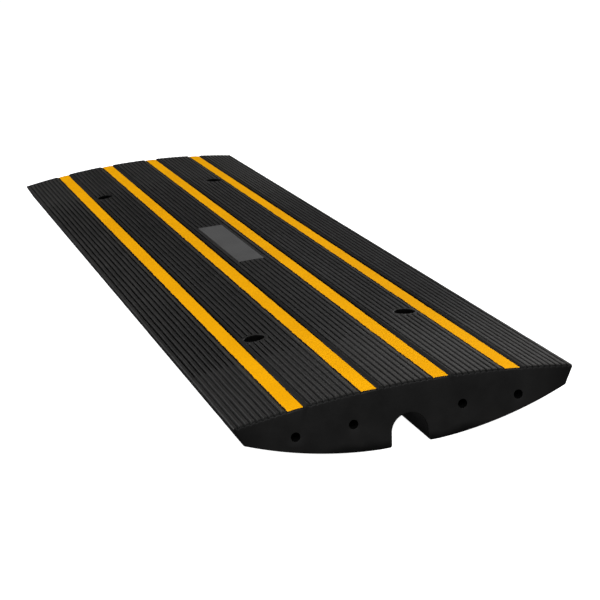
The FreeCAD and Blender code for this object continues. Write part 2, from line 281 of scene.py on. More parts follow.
# -- the rest of the outline
right = []
right += corner_arc[1:]
side_a, side_b = np.array(corner_arc[-1]), np.array(foot_arc[0])
right += [tuple(side_a + (side_b - side_a) * t) for t in np.linspace(0, 1, 8)[1:-1]]
right += foot_arc
low_y = set(np.linspace(foot_arc[-1][0], LAND_Y, 38)[1:])
for ay in ANCHOR_Y:
    if ay > 0:
        for v in (ay - WIN_LOW, ay + WIN_LOW):
            low_y = {w for w in low_y if abs(w - v) > 0.8} | {v}
right += [(v, float(belly(v))) for v in sorted(low_y, reverse=True)]
right += mouth_arc
right += [(CHAN_R + (mouth_arc[-1][0] - CHAN_R) * t, CHAN_Z + (mouth_arc[-1][1] - CHAN_Z) * t) for t in (0.66, 0.33, 0.0)]
crown = [
    (CHAN_R * math.cos(t), CHAN_Z + CHAN_R * math.sin(t))
    for t in np.linspace(0, math.pi, 25)[1:-1]
]
left = [(-y, z) for y, z in reversed(right)]
rest = np.array(right + crown + left[:-0 or None])
rest = rest[:-0 or None]

N_TOP, N_REST = len(top_y), len(rest)
M = N_TOP + N_REST

# inward normals of the part that isn't the top
ring = np.vstack([[[top_y[-1], arch(top_y[-1])]], rest, [[top_y[0], arch(top_y[0])]]])
tangent = ring[2:] - ring[:-2]
tangent /= np.linalg.norm(tangent, axis=1)[:, None]
inward = np.stack([tangent[:, 1], -tangent[:, 0]], 1)

# ---------------------------------------------------------------------------
# stations along the ramp
# ---------------------------------------------------------------------------
xs = set()
for d in (0, 0.05, 0.2, 0.42, 0.72, 1.2, 1.9, 2.5, 3.1, 3.8, 4.6, 6.0, 6.1, 8.5, 12.0, 17.0):
    xs |= {HALF_L - d, d - HALF_L}
xs |= {s * v for s in (-1, 1) for v in (STRIPE_END, STRIPE_END - 0.02)}
for o in (-5, -1.0, -0.02, 0, 0.3, 0.55, 0.85, 1.15, 1.45, 1.9, 2.6, 4.0, 8.0):
    xs |= {PLATE_HALF_L + o, -PLATE_HALF_L - o}
for ax in ANCHOR_X:
    xs |= {ax + o for o in np.arange(-16.8, 17.0, 0.8)} | {ax - 24, ax + 24}
dense_fixed = {round(ax + s * w, 6) for ax in ANCHOR_X for s in (-1, 1) for w in (WIN_TOP, WIN_LOW)}
xs = {v for v in xs if min(abs(v - f) for f in dense_fixed) > 0.3} | dense_fixed
for v in np.linspace(-HALF_L, HALF_L, 122):
    if min(abs(v - w) for w in xs) > 5.0:
        xs.add(v)
xs = np.array(sorted(xs))
K = len(xs)

X, Y = np.meshgrid(xs, top_y, indexing="ij")
Z = top_height(X, Y)
bed = (top_layer == 1)[None, :] & (np.abs(X) < STRIPE_END - 0.01)
Z = np.where(bed, arch(Y) - BED_DROP, Z)
recess = (top_layer == 2)[None, :] & (np.abs(X) < PLATE_HALF_L - 0.01)
Z = np.where(recess, float(arch(PLATE_HALF_W)) - 3.0, Z)
P = np.zeros((K, M, 3))
P[:, :N_TOP, 0], P[:, :N_TOP, 1], P[:, :N_TOP, 2] = X, Y, Z
inset = end_inset(HALF_L - np.abs(xs))
for j in range(N_REST):
    y0, z0 = rest[j]
    P[:, N_TOP + j, 0] = xs
    P[:, N_TOP + j, 1] = y0 + inward[j, 0] * inset
    P[:, N_TOP + j, 2] = z0 + inward[j, 1] * inset
# a little unevenness in the raked sides, none where the ramp stands
side = (rest[:, 1] > 22) & (np.abs(rest[:, 0]) > 135)
shake = wobble(xs[:, None], rest[None, :, 1] * 3, 8, (0.10, 90.0), (0.05, 33.0))
P[:, N_TOP:, 1] -= np.abs(shake) * side[None, :] * np.sign(rest[None, :, 0])

verts = [tuple(p) for p in P.reshape(-1, 3)]
index = np.arange(K * M).reshape(K, M)


def find(values, v):
    k = int(np.argmin(np.abs(np.asarray(values) - v)))
    assert abs(values[k] - v) < 1e-4, (v, values[k])
    return k


def top_slot(y):
    return find(np.where(top_layer == 1, 1e9, top_y), y)


def low_slot(y, sign):
    on_belly = (rest[:, 1] < FOOT[1] - 0.1) & (np.abs(rest[:, 0]) > LAND_Y)
    return N_TOP + find(np.where(on_belly, rest[:, 0], 1e9), y)


skip = np.zeros((K, M), bool)
faces = []


def loop_of(k0, k1, m0, m1):
    """Grid vertices round a window, in order."""
    out = [index[k, m0] for k in range(k0, k1)]
    out += [index[k1, m] for m in range(m0, m1)]
    out += [index[k, m1] for k in range(k1, k0, -1)]
    out += [index[k0, m] for m in range(m1, m0, -1)]
    return out


def add_ring(points):
    first = len(verts)
    verts.extend(tuple(p) for p in points)
    return list(range(first, first + len(points)))


def stitch(a, b):
    """Quads between two rings of one length."""
    n = len(a)
    for i in range(n):
        faces.append((a[i], a[(i + 1) % n], b[(i + 1) % n], b[i]))


def zip_rings(a, b, centre):
    """Triangles between two rings round one axis whose lengths differ, both turning the same way."""
    ang = lambda i: math.atan2(verts[i][1] - centre[1], verts[i][0] - centre[0])

    def unwrapped(r):
        t = [ang(i) for i in r]
        out = [t[0]]
        for v in t[1:]:
            while v - out[-1] > math.pi:
                v -= 2 * math.pi
            while v - out[-1] < -math.pi:
                v += 2 * math.pi
            out.append(v)
        return np.array(out)

    ta, tb = unwrapped(a), unwrapped(b)
    way = 1 if ta[-1] > ta[0] else -1
    start = int(np.argmin(np.abs((tb - ta[0] + math.pi) % (2 * math.pi) - math.pi)))
    b = b[start:] + b[:start]
    tb = unwrapped(b)
    tb += round((ta[0] - tb[0]) / (2 * math.pi)) * 2 * math.pi
    i = j = 0
    na, nb = len(a), len(b)
    while i < na or j < nb:
        next_a = ta[i + 1] if i + 1 < na else ta[0] + way * 2 * math.pi
        next_b = tb[j + 1] if j + 1 < nb else tb[0] + way * 2 * math.pi
        if j >= nb or (i < na and (next_a - next_b) * way <= 0):
            faces.append((a[i % na], a[(i + 1) % na], b[j % nb]))
            i += 1
        else:
            faces.append((a[i % na], b[(j + 1) % nb], b[j % nb]))
            j += 1


for wx, wy, z_low, z_seat in WASHERS.values():
    # top window
    k0, k1 = find(xs, wx - WIN_TOP), find(xs, wx + WIN_TOP)
    m0, m1 = top_slot(wy - WIN_TOP), top_slot(wy + WIN_TOP)
    skip[k0:k1, m0:m1] = True
    outer = loop_of(k0, k1, m0, m1)
    flat = np.array([verts[i][:2] for i in outer])
    away = flat - (wx, wy)
    far = np.linalg.norm(away, axis=1)
    away /= far[:, None]
    lip = 0.9
    previous = outer
    for r_share in (0.80, 0.62, 0.46, 0.33, 0.22, 0.145, 0.09, 0.062, 0.036, 0.015, 0.0):
        r = BORE_R + (far - BORE_R) * r_share
        px, py = wx + away[:, 0] * r, wy + away[:, 1] * r
        t = np.clip((BORE_R + lip - r) / lip, 0, 1)
        pz = top_height(px, py) - lip * (1 - np.sqrt(1 - t**2))
        now = add_ring(np.stack([px, py, pz], 1))
        stitch(previous, now)
        previous = now
    top_rim = np.array([verts[i][2] for i in previous])
    for share in (0.15, 0.4, 0.7, 1.0):
        pz = top_rim + (z_seat - top_rim) * share
        ring_now = add_ring(np.stack([wx + away[:, 0] * BORE_R, wy + away[:, 1] * BORE_R, pz], 1))
        stitch(previous, ring_now)
        previous = ring_now
    for r, z in ((WASHER_R, z_seat), (WASHER_R, z_low), (BOLT_R, z_low)):
        ring_now = add_ring(
            np.stack([wx + away[:, 0] * r, wy + away[:, 1] * r, np.full(len(away), z)], 1)
        )
        stitch(previous, ring_now)
        previous = ring_now
    upper = previous
    # window in the underside
    sign = 1 if wy > 0 else -1
    k0, k1 = find(xs, wx - WIN_LOW), find(xs, wx + WIN_LOW)
    ma, mb = low_slot(wy + WIN_LOW, sign), low_slot(wy - WIN_LOW, sign)
    m0, m1 = min(ma, mb), max(ma, mb)
    skip[k0:k1, m0:m1] = True
    outer = loop_of(k0, k1, m0, m1)
    flat = np.array([verts[i][:2] for i in outer])
    away = flat - (wx, wy)
    far = np.linalg.norm(away, axis=1)
    away /= far[:, None]
    lip = 0.7
    previous = outer
    for r_share in (0.7, 0.45, 0.24, 0.12, 0.05, 0.0):
        r = BOLT_R + (far - BOLT_R) * r_share
        px, py = wx + away[:, 0] * r, wy + away[:, 1] * r
        t = np.clip((BOLT_R + lip - r) / lip, 0, 1)
        pz = belly(py) + lip * (1 - np.sqrt(1 - t**2))
        now = add_ring(np.stack([px, py, pz], 1))
        stitch(previous, now)
        previous = now
    zip_rings(upper, previous[::-1], (wx, wy))

for k in range(K - 1):
    row = index[k], index[k + 1]
    for m in range(M):
        if not skip[k, m]:
            n = (m + 1) % M
            faces.append((row[0][m], row[0][n], row[1][n], row[1][m]))


def cap(k, out):
    """End face with its four dowel holes. out is +1 at the near end, -1 at the far one."""
    x_face = xs[k]
    outline = []
    for m in range(M):
        p = P[k, m, 1:]
        if not outline or np.linalg.norm(p - outline[-1][1]) > 1e-5:
            outline.append((int(index[k, m]), p))
    if np.linalg.norm(outline[0][1] - outline[-1][1]) < 1e-5:
        outline.pop()
    points = [Vector(p) for _, p in outline]
    ids = [i for i, _ in outline]
    n = len(points)
    edges = [(i, (i + 1) % n) for i in range(n)]
    lip, count = 0.35, 48
    for dy, dz in DOWELS:
        circle = [
            (dy + (DOWEL_R + lip) * math.cos(t), dz + (DOWEL_R + lip) * math.sin(t))
            for t in np.linspace(0, 2 * math.pi, count, endpoint=False)
        ]
        base = len(points)
        rim = add_ring([(x_face, y, z) for y, z in circle])
        points += [Vector(c) for c in circle]
        ids += rim
        edges += [(base + i, base + (i + 1) % count) for i in range(count)]
        previous = rim
        steps = [(DOWEL_R + lip * (1 - math.sin(t)), lip * (1 - math.cos(t))) for t in (0.35, 0.7, 1.1, math.pi / 2)]
        steps = [(r, depth) for r, depth in steps] + [(DOWEL_R, 6), (DOWEL_R, 25), (DOWEL_R, DOWEL_DEPTH)]
        for r, depth in steps:
            now = add_ring(
                [
                    (x_face - out * depth, dy + r * math.cos(t), dz + r * math.sin(t))
                    for t in np.linspace(0, 2 * math.pi, count, endpoint=False)
                ]
            )
            stitch(previous, now)
            previous = now
        verts.append((x_face - out * (DOWEL_DEPTH + 1.6), dy, dz))
        tip = len(verts) - 1
        for i in range(count):
            faces.append((previous[i], previous[(i + 1) % count], tip))
    # the outline and the hole rims are triangulated as they stand; the random generator is not used
    rng = np.random.default_rng(5)
    v, e, f, ov, oe, of = geometry.delaunay_2d_cdt(points, edges, [], 1, 1e-7)
    back = []
    for originals, p in zip(ov, v):
        if originals:
            back.append(ids[originals[0]])
        else:
            verts.append((x_face, p[0], p[1]))
            back.append(len(verts) - 1)
    for tri in f:
        c = sum((Vector(v[i]) for i in tri), Vector((0, 0))) / len(tri)
        if any(math.hypot(c[0] - dy, c[1] - dz) < DOWEL_R + lip for dy, dz in DOWELS):
            continue
        faces.append(tuple(back[i] for i in tri))


cap(0, -1)
cap(K - 1, 1)


# ---------------------------------------------------------------------------
# mesh making
# ---------------------------------------------------------------------------
def make_mesh(name, points, polygons, crease=35.0, merge=1e-3):
    """Closed mesh in metres, welded, with edges sharper than crease left sharp."""
    bm = bmesh.new()
    vs = [bm.verts.new((p[0] * MM, p[1] * MM, p[2] * MM)) for p in points]
    for poly in polygons:
        ids = []
        for i in poly:
            if i not in ids:
                ids.append(i)
        if len(ids) >= 3:
            try:
                bm.faces.new([vs[i] for i in ids])
            except ValueError:
                pass
    bmesh.ops.remove_doubles(bm, verts=bm.verts, dist=merge * MM)
    bmesh.ops.dissolve_degenerate(bm, edges=bm.edges, dist=1e-7)
    loose = [v for v in bm.verts if not v.link_faces]
    bmesh.ops.delete(bm, geom=loose, context="VERTS")
    bmesh.ops.recalc_face_normals(bm, faces=bm.faces)
    bm.normal_update()
    limit = math.radians(crease)
    for e in bm.edges:
        e.smooth = len(e.link_faces) == 2 and e.calc_face_angle(0.0) < limit
    for f in bm.faces:
        f.smooth = True
    open_edges = sum(1 for e in bm.edges if len(e.link_faces) != 2)
    volume = bm.calc_volume(signed=True)
    mesh = bpy.data.meshes.new(name)
    bm.to_mesh(mesh)
    bm.free()
    print(f"{name}: {len(mesh.vertices)} vertices, {open_edges} open edges, {volume * 1e6:.1f} cm3")
    obj = bpy.data.objects.new(name, mesh)
    bpy.context.scene.collection.objects.link(obj)
    return obj


body = make_mesh("moulded_rubber_ramp", verts, faces)

# floats the materials read: how high on a rib a point is, and how close to an end
co = np.empty(len(body.data.vertices) * 3)
body.data.vertices.foreach_get("co", co)
co = co.reshape(-1, 3) / MM
below = arch(np.clip(co[:, 1], -150, 150)) - co[:, 2]
crest = np.clip(1 - below / 1.25, 0, 1) * (np.abs(co[:, 1]) < 152)
body.data.attributes.new("crest", "FLOAT", "POINT").data.foreach_set("value", crest.astype(np.float32))
# painted sheen on the rib left of each stripe, kept in the tint attribute
tint = np.zeros(len(co))
for centre, half, _ in STRIPES.values():
    for way, share in ((-1, 1.0),):
        s = (co[:, 1] - centre) * way - STRIPE_HALF
        tint = np.maximum(tint, share * smooth((s - 0.9) / 0.8) * smooth((4.9 - s) / 0.8))
tint *= (co[:, 2] > 40) * smooth((HALF_L - np.abs(co[:, 0]) - 0.5) / 2)
body.data.attributes.new("tint", "FLOAT", "POINT").data.foreach_set("value", tint.astype(np.float32))
# painted shade: darker, rougher rubber right of each stripe, inside the bores and dowel holes, round the far-end
# bores, on the right of the middle and down in the grooves
painted_shade = np.zeros(len(co))
for centre, half, _ in STRIPES.values():
    s = co[:, 1] - centre - STRIPE_HALF
    share = 0.75 if centre < 90 else 0.30
    painted_shade = np.maximum(painted_shade, share * smooth((s + 0.5) / 0.4) * smooth((4.9 - s) / 1.0))
painted_shade *= co[:, 2] > 40
for wx, wy, z_low, z_seat in WASHERS.values():
    r = np.hypot(co[:, 0] - wx, co[:, 1] - wy)
    inside = (r < WASHER_R + 0.1) & (below > 0.55) & (co[:, 2] > 1)
    painted_shade = np.maximum(painted_shade, np.where(inside & (r < BORE_R + 0.5), 1.0, 0.0))
    if wx < 0:
        painted_shade = np.maximum(painted_shade, 0.95 * smooth((BORE_R + 2.4 - r) / 1.2) * (co[:, 2] > 40))
for dy, dz in DOWELS:
    r = np.hypot(co[:, 1] - dy, co[:, 2] - dz)
    painted_shade = np.maximum(painted_shade, np.where((r < DOWEL_R + 0.2) & (np.abs(co[:, 0]) > HALF_L - DOWEL_DEPTH - 3), 1.0, 0.0))
in_hole = painted_shade > 0.99
on_top = (co[:, 2] > 40) & (np.abs(co[:, 1]) < 151) & (below < 3.4)
on_top = on_top * smooth((HALF_L - np.abs(co[:, 0])) / 0.5)
middle = smooth((470 - co[:, 0]) / 150) * smooth((co[:, 0] + 450) / 150)
shade = 0.42 * smooth((co[:, 1] - 25) / 80) * smooth((460 - co[:, 0]) / 180) * smooth((co[:, 0] + 330) / 220)
painted_shade = np.maximum(painted_shade, shade * on_top)
painted_shade = np.maximum(painted_shade, (0.8 + 0.2 * middle) * smooth((1 - crest) / (0.8 - 0.2 * middle)) * on_top)
# painted shade: faces inside the holes and at the bottom of the grooves take a near-black material
shade_black_mask = in_hole | ((crest <= 0.30 * middle) & (middle > 0.02) & (on_top > 0.9))
body.data.attributes.new("painted_shade", "FLOAT", "POINT").data.foreach_set("value", painted_shade.astype(np.float32))
# painted sheen: rib crests lighter towards both ends, more so on the right, and along the left band
cx, cy = co[:, 0], co[:, 1]
painted_sheen = smooth((cx - 350) / 230) * (0.22 + 0.78 * smooth((cy + 130) / 210))
painted_sheen = painted_sheen + 0.55 * smooth((-cx - 130) / 380) * (0.35 + 0.65 * smooth((cy + 110) / 230))
painted_sheen = painted_sheen + 0.30 * smooth((-cx - 180) / 250) * smooth((-cy - 60) / 60)
painted_sheen = painted_sheen + 0.30 * smooth((-cy - 60) / 50) * smooth((330 - np.abs(cx)) / 200)
painted_sheen = np.clip(painted_sheen, 0, 1) * crest * (co[:, 2] > 40)
body.data.attributes.new("painted_sheen", "FLOAT", "POINT").data.foreach_set("value", painted_sheen.astype(np.float32))
shade_black_faces = np.array([all(shade_black_mask[i] for i in p.vertices) for p in body.data.polygons])
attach(body, ROOT)
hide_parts("ramp_body")


# ---------------------------------------------------------------------------
# the four yellow stripes, moulded into their beds
# ---------------------------------------------------------------------------
def stripe(name, seed):
    centre, half, end = STRIPES[name]
    w = STRIPE_HALF - 0.03
    across = np.array([-w, -w, -w + 0.04, -w + 0.16, -w + 0.4, -w + 0.8, -w + 1.5, -w + 2.6, -w + 4.2, -w + 5.7])
    across = np.concatenate([across, [0.0], -across[::-1]])
    along = np.concatenate(
        [
            end - np.array([0, 0.0, 0.06, 0.25, 0.5, 0.9, 1.5, 2.4]),
            np.linspace(end - 4, -end + 4, 560),
            -end + np.array([2.4, 1.5, 0.9, 0.5, 0.25, 0.06, 0.0, 0]),
        ]
    )
    X, Y = np.meshgrid(along, centre + across, indexing="ij")
    to_side = w - np.abs(across)[None, :]
    to_end = end - np.abs(along)[:, None]
    soft = 0.28 * (1 - np.sqrt(1 - np.clip(1 - to_side / 0.5, 0, 1) ** 2)) + 0.5 * (
        1 - np.sqrt(1 - np.clip(1 - to_end / 0.9, 0, 1) ** 2)
    )
    lump = wobble(X, Y, seed, (0.10, 60.0), (0.06, 17.0), (0.04, 6.0))
    sag = 0.10 * (1 - (across / w) ** 2)[None, :]
    Z = arch(Y) - STRIPE_DROP - 0.04 - soft + 0.6 * lump - sag
    floor_z = arch(Y) - BED_DROP + 0.02
    Z[:, 0], Z[:, -1] = floor_z[:, 0], floor_z[:, -1]
    Z[0, :], Z[-1, :] = floor_z[0, :], floor_z[-1, :]
    n, m = Z.shape
    pts = [tuple(p) for p in np.stack([X, Y, Z], -1).reshape(-1, 3)]
    ids = np.arange(n * m).reshape(n, m)
    polys = [
        (ids[i, j], ids[i, j + 1], ids[i + 1, j + 1], ids[i + 1, j])
        for i in range(n - 1)
        for j in range(m - 1)
    ]
    # underside: one strip of quads between the two long lower edges
    for i in range(n - 1):
        polys.append((ids[i, 0], ids[i + 1, 0], ids[i + 1, m - 1], ids[i, m - 1]))
    polys.append(tuple(ids[0, :]))
    polys.append(tuple(ids[n - 1, :]))
    obj = make_mesh(name.replace("stripe", "yellow_stripe"), pts, polys, crease=50)
    c = np.empty(len(obj.data.vertices) * 3)
    obj.data.vertices.foreach_get("co", c)
    c = c.reshape(-1, 3) / MM
    edge = np.minimum(STRIPE_HALF - np.abs(c[:, 1] - centre), end - np.abs(c[:, 0]))
    obj.data.attributes.new("edge", "FLOAT", "POINT").data.foreach_set("value", edge.astype(np.float32))
    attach(obj, ROOT)
    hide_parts(name)
    return obj


stripes = [stripe(name, 20 + i) for i, name in enumerate(STRIPES)]


# ---------------------------------------------------------------------------
# centre plate
# ---------------------------------------------------------------------------
def rounded_rect(a, b, r, n=6):
    out = []
    for cx, cy, t0 in ((a - r, b - r, 0), (-(a - r), b - r, 90), (-(a - r), -(b - r), 180), (a - r, -(b - r), 270)):
        for t in np.radians(np.linspace(t0, t0 + 90, n)):
            out.append((cx + r * math.cos(t), cy + r * math.sin(t)))
    return out


def plate():
    gap = 0.22
    a, b = PLATE_HALF_L - gap, PLATE_HALF_W - gap
    bottom = float(arch(PLATE_HALF_W)) - 3.0 + 0.02
    pts, polys, rings = [], [], []
    for inset_by, depth in ((0, None), (0, 0.6), (0.05, 0.36), (0.18, 0.16), (0.38, 0.04), (0.62, 0.0)):
        ring = []
        for x, y in rounded_rect(a - inset_by, b - inset_by, max(1.1 - inset_by, 0.4)):
            z = bottom if depth is None else float(arch(y)) - depth
            ring.append(len(pts))
            pts.append((x, y, z))
        rings.append(ring)
    for r0, r1 in zip(rings, rings[1:]):
        for i in range(len(r0)):
            j = (i + 1) % len(r0)
            polys.append((r0[i], r0[j], r1[j], r1[i]))
    polys.append(tuple(rings[0][::-1]))
    # crown of the plate: a grid follows the arch
    inner = rings[-1]
    nx, ny = 40, 11
    gx = np.linspace(-(a - 3.0), a - 3.0, nx)
    gy = np.linspace(-(b - 3.0), b - 3.0, ny)
    grid = []
    for x in gx:
        row = []
        for y in gy:
            row.append(len(pts))
            pts.append((x, y, float(arch(y)) + 0.03 * float(wobble(np.array(x), np.array(y), 9, (1.0, 40.0)))))
        grid.append(row)
    for i in range(nx - 1):
        for j in range(ny - 1):
            polys.append((grid[i][j], grid[i + 1][j], grid[i + 1][j + 1], grid[i][j + 1]))
    border = [grid[i][0] for i in range(nx)] + [grid[nx - 1][j] for j in range(1, ny)]
    border += [grid[i][ny - 1] for i in range(nx - 2, -1, -1)] + [grid[0][j] for j in range(ny - 2, 0, -1)]
    points = [Vector(pts[i][:2]) for i in inner] + [Vector(pts[i][:2]) for i in border]
    ids = inner + border
    n, m = len(inner), len(border)
    edges = [(i, (i + 1) % n) for i in range(n)] + [(n + i, n + (i + 1) % m) for i in range(m)]
    v, e, f, ov, oe, of = geometry.delaunay_2d_cdt(points, edges, [], 1, 1e-7)
    back = [ids[o[0]] for o in ov]
    for tri in f:
        c = sum((Vector(v[i]) for i in tri), Vector((0, 0))) / len(tri)
        if abs(c[0]) < a - 3.0 and abs(c[1]) < b - 3.0:
            continue
        polys.append(tuple(back[i] for i in tri))
    obj = make_mesh("blank_centre_plate", pts, polys, crease=40)
    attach(obj, ROOT)
    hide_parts("centre_plate")
    return obj


centre_plate = plate()


# ---------------------------------------------------------------------------
# anchor washers: turned steel rings with broken edges, one in each cavity
# ---------------------------------------------------------------------------
def washer(name):
    wx, wy, z0, z1 = WASHERS[name]
    outline = []
    for r, z, sr, sz in ((BOLT_R, z0, 1, 1), (WASHER_R - 0.05, z0, -1, 1), (WASHER_R - 0.05, z1 - 0.02, -1, -1), (BOLT_R, z1 - 0.02, 1, -1)):
        c = 0.35
        corner_points = [(r, z + sz * c), (r + sr * 0.3 * c, z + sz * 0.3 * c), (r + sr * c, z)]
        if (sr, sz) in ((-1, 1), (1, -1)):
            corner_points.reverse()
        outline += corner_points
    pts, polys = [], []
    n, m = 72, len(outline)
    for i in range(n):
        t = 2 * math.pi * i / n
        for r, z in outline:
            pts.append((wx + r * math.cos(t), wy + r * math.sin(t), z))
    for i in range(n):
        for j in range(m):
            k, q = (i + 1) % n, (j + 1) % m
            polys.append((i * m + j, i * m + q, k * m + q, k * m + j))
    obj = make_mesh(name.replace("anchor_washer", "steel_anchor_washer"), pts, polys, crease=30)
    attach(obj, ROOT)
    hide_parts(name)
    return obj


washers = [washer(name) for name in WASHERS]


# ---------------------------------------------------------------------------
# materials
# ---------------------------------------------------------------------------
class Nodes:
    """A material's node tree with short calls."""

    def __init__(self, name):
        self.material = bpy.data.materials.new(name)
        self.material.use_nodes = True
        self.tree = self.material.node_tree
        self.tree.nodes.clear()
        self.out = self.tree.nodes.new("ShaderNodeOutputMaterial")
        self.shader = self.tree.nodes.new("ShaderNodeBsdfPrincipled")
        self.tree.links.new(self.shader.outputs["BSDF"], self.out.inputs["Surface"])
        self.where = self.tree.nodes.new("ShaderNodeTexCoord").outputs["Object"]

    def put(self, socket, value):
        if isinstance(value, bpy.types.NodeSocket):
            self.tree.links.new(value, socket)
        else:
            socket.default_value = value

    def noise(self, scale, detail=4.0, rough=0.55, stretch=None, where=None, kind="fac"):
        at = where or self.where
        if stretch:
            m = self.tree.nodes.new("ShaderNodeMapping")
            m.inputs["Scale"].default_value = stretch
            self.put(m.inputs["Vector"], at)
            at = m.outputs["Vector"]
        n = self.tree.nodes.new("ShaderNodeTexNoise")
        self.put(n.inputs["Vector"], at)
        self.put(n.inputs["Scale"], scale)
        self.put(n.inputs["Detail"], detail)
        self.put(n.inputs["Roughness"], rough)
        return n.outputs["Fac"] if kind == "fac" else n.outputs["Color"]

    def cells(self, scale, feature="F1", random=1.0):
        n = self.tree.nodes.new("ShaderNodeTexVoronoi")
        n.feature = feature
        self.put(n.inputs["Vector"], self.where)
        self.put(n.inputs["Scale"], scale)
        self.put(n.inputs["Randomness"], random)
        return n.outputs["Distance"]

    def ramp(self, value, low, high, a=0.0, b=1.0):
        n = self.tree.nodes.new("ShaderNodeMapRange")
        n.interpolation_type = "SMOOTHSTEP"
        self.put(n.inputs["Value"], value)
        self.put(n.inputs["From Min"], low)
        self.put(n.inputs["From Max"], high)
        self.put(n.inputs["To Min"], a)
        self.put(n.inputs["To Max"], b)
        return n.outputs["Result"]

    def math(self, op, a, b=0.0):
        n = self.tree.nodes.new("ShaderNodeMath")
        n.operation = op
        self.put(n.inputs[0], a)
        self.put(n.inputs[1], b)
        return n.outputs[0]

    def mix(self, share, a, b):
        n = self.tree.nodes.new("ShaderNodeMix")
        n.data_type = "RGBA"
        self.put(n.inputs["Factor"], share)
        self.put(n.inputs[6], a)
        self.put(n.inputs[7], b)
        return n.outputs[2]

    def axes(self):
        n = self.tree.nodes.new("ShaderNodeSeparateXYZ")
        self.put(n.inputs[0], self.where)
        return n.outputs["X"], n.outputs["Y"], n.outputs["Z"]

    def attribute(self, name):
        n = self.tree.nodes.new("ShaderNodeAttribute")
        n.attribute_name = name
        return n.outputs["Fac"]

    def bump(self, height, strength, distance, normal=None):
        n = self.tree.nodes.new("ShaderNodeBump")
        self.put(n.inputs["Height"], height)
        self.put(n.inputs["Strength"], strength)
        self.put(n.inputs["Distance"], distance)
        if normal is not None:
            self.put(n.inputs["Normal"], normal)
        return n.outputs["Normal"]

    def set(self, **values):
        for name, value in values.items():
            self.put(self.shader.inputs[name.replace("_", " ")], value)


def grey(v, warm=0.0):
    return (v * (1 + warm), v, v * (1 - warm), 1.0)


def black_rubber():
    n = Nodes("black_rubber")
    crest = n.attribute("crest")
    broad = n.noise(9.0, 5.0)
    patch = n.noise(60.0, 6.0, stretch=(0.35, 1.0, 1.0))
    grain = n.noise(900.0, 6.0, 0.65)
    crumb = n.cells(520.0)
    base = n.mix(n.ramp(broad, 0.35, 0.68), grey(0.0072), grey(0.0105, 0.02))
    # worn, dusty tops of the ribs
    worn = n.math("MULTIPLY", n.ramp(crest, 0.45, 1.0), n.ramp(patch, 0.30, 0.75, 0.35, 1.0))
    base = n.mix(worn, base, grey(0.0185, 0.04))
    # painted sheen on the rib crests
    sheen_share = n.math("MULTIPLY", n.attribute("painted_sheen"), n.ramp(patch, 0.2, 0.75, 0.7, 1.0))
    base = n.mix(sheen_share, base, (0.0460, 0.0440, 0.0420, 1))
    # painted sheen: a lighter beige on the rib left of each stripe, where it tilts towards the light (kept in the
    # tint attribute)
    stripe_side_sheen = n.math("MULTIPLY", n.attribute("tint"), n.ramp(patch, 0.25, 0.7, 0.55, 1.0))
    base = n.mix(stripe_side_sheen, base, (0.0360, 0.0320, 0.0215, 1))
    # fine rubber crumb showing in the skin
    base = n.mix(n.ramp(grain, 0.60, 0.74, 0.0, 0.35), base, grey(0.027, 0.02))
    base = n.mix(n.ramp(crumb, 0.05, 0.16, 0.30, 0.0), base, grey(0.033, 0.03))
    # painted shade: grooves, bores and the strips beside the stripes go near black and rougher
    shade_paint_amount = n.attribute("painted_shade")
    # the end faces are mottled, carry painted shade along the ground and are darker towards both tips
    x, y, z = n.axes()
    on_end = n.math("GREATER_THAN", n.math("ABSOLUTE", x), (HALF_L - 0.2) * MM)
    cloud = n.noise(26.0, 4.0)
    ground = n.ramp(n.math("ADD", z, n.ramp(cloud, 0.3, 0.7, -0.0025, 0.0025)), 0.0005, 0.0105, 0.75, 0.0)
    thin = n.ramp(n.math("ABSOLUTE", y), 0.112, 0.146, 0.0, 0.38)
    shade_and_mottle = n.math("MAXIMUM", n.math("MAXIMUM", ground, thin), n.ramp(cloud, 0.42, 0.72, 0.0, 0.20))
    shade_and_mottle = n.math("MULTIPLY", shade_and_mottle, on_end)
    base = n.mix(shade_paint_amount, base, grey(0.0016))
    n.set(Base_Color=base)
    rough = n.math("ADD", n.ramp(patch, 0.3, 0.7, 0.42, 0.54), n.ramp(grain, 0.35, 0.7, -0.03, 0.05))
    rough = n.math("ADD", rough, n.math("MULTIPLY", shade_paint_amount, 0.38))
    n.set(Roughness=rough)
    n.shader.inputs["Specular IOR Level"].default_value = 0.17
    coarse = n.bump(n.noise(230.0, 3.0), 0.35, 0.00012)
    n.set(Normal=n.bump(grain, 0.55, 0.00005, coarse))
    # painted shade and mottling: a near-black matt shader mixed over the end faces
    matt = n.tree.nodes.new("ShaderNodeBsdfDiffuse")
    matt.inputs["Color"].default_value = grey(0.0016)
    both = n.tree.nodes.new("ShaderNodeMixShader")
    n.put(both.inputs[0], shade_and_mottle)
    n.put(both.inputs[1], n.shader.outputs["BSDF"])
    n.put(both.inputs[2], matt.outputs["BSDF"])
    n.put(n.out.inputs["Surface"], both.outputs["Shader"])
    return n.material


def near_black_shade_rubber():
    """The same rubber made near black and matt: painted shade inside the holes and at the bottom of the grooves."""
    n = Nodes("near_black_shade_rubber")
    n.set(Base_Color=n.mix(n.ramp(n.noise(300.0), 0.3, 0.7), grey(0.0010), grey(0.0022)))
    n.set(Roughness=0.95)
    n.shader.inputs["Specular IOR Level"].default_value = 0.02
    return n.material


